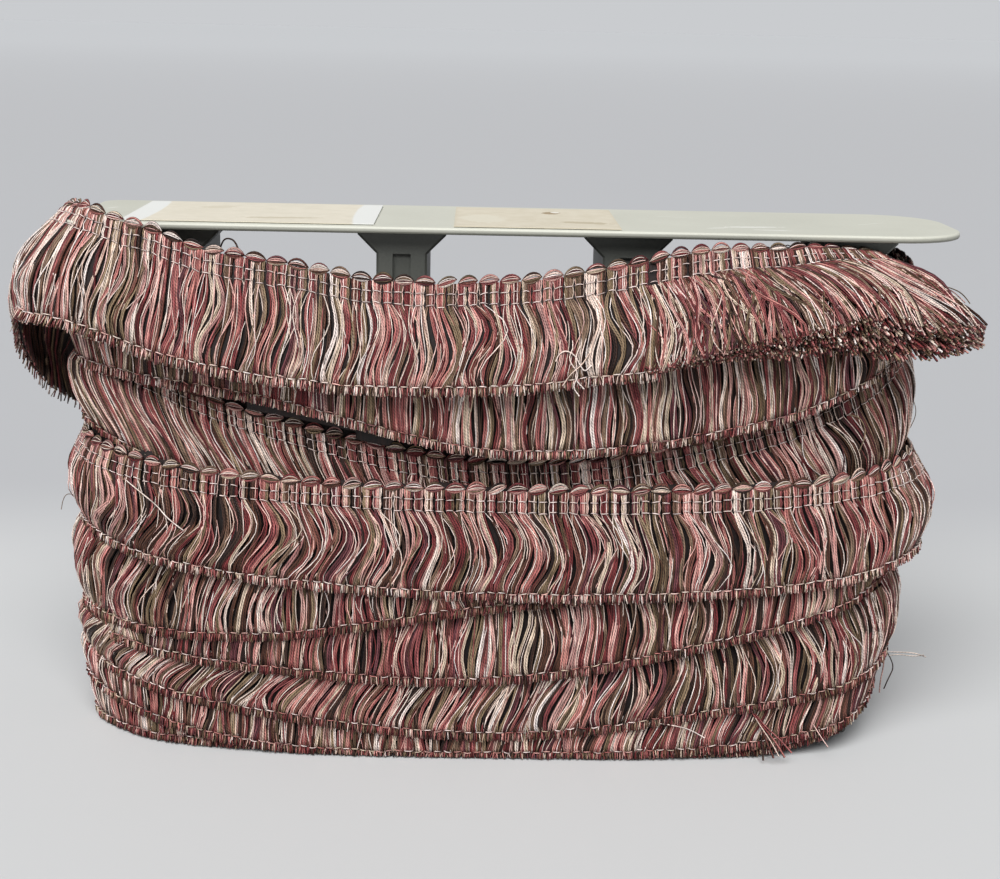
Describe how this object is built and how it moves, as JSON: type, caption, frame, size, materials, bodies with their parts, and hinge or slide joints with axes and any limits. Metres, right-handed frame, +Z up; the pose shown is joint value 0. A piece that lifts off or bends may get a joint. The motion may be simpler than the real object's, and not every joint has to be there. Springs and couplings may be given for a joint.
{
  "type": "roll of fringe trim on a spool",
  "caption": "Brush fringe trim with a looped heading, wound flat round a plastic spool's posts under a long plate, its last turn standing loose.",
  "frame": {"origin": "middle of the whole roll's box, on the surface that it stands on", "axes": "+X along the spool, to the right seen from the front; +Y to the back; +Z up"},
  "size_m": [0.4311, 0.1547, 0.2456],
  "materials": {
    "trim_yarn": "soft space-dyed yarn in maroon, rose, cream and olive grey",
    "plate_plastic": "pale grey-green moulded plastic, scuffed",
    "post_plastic": "dark grey moulded plastic",
    "tag_paper": "blank aged paper"
  },
  "bodies": {
    "root": {"winding": "trim_yarn", "outer_heading": "trim_yarn", "outer_skirt": "trim_yarn", "spool_plate": "plate_plastic", "post_1": "post_plastic", "post_2": "post_plastic", "post_3": "post_plastic", "post_4": "post_plastic", "tag_left": "tag_paper", "tag_middle": "tag_paper"}
  },
  "joints": []
}
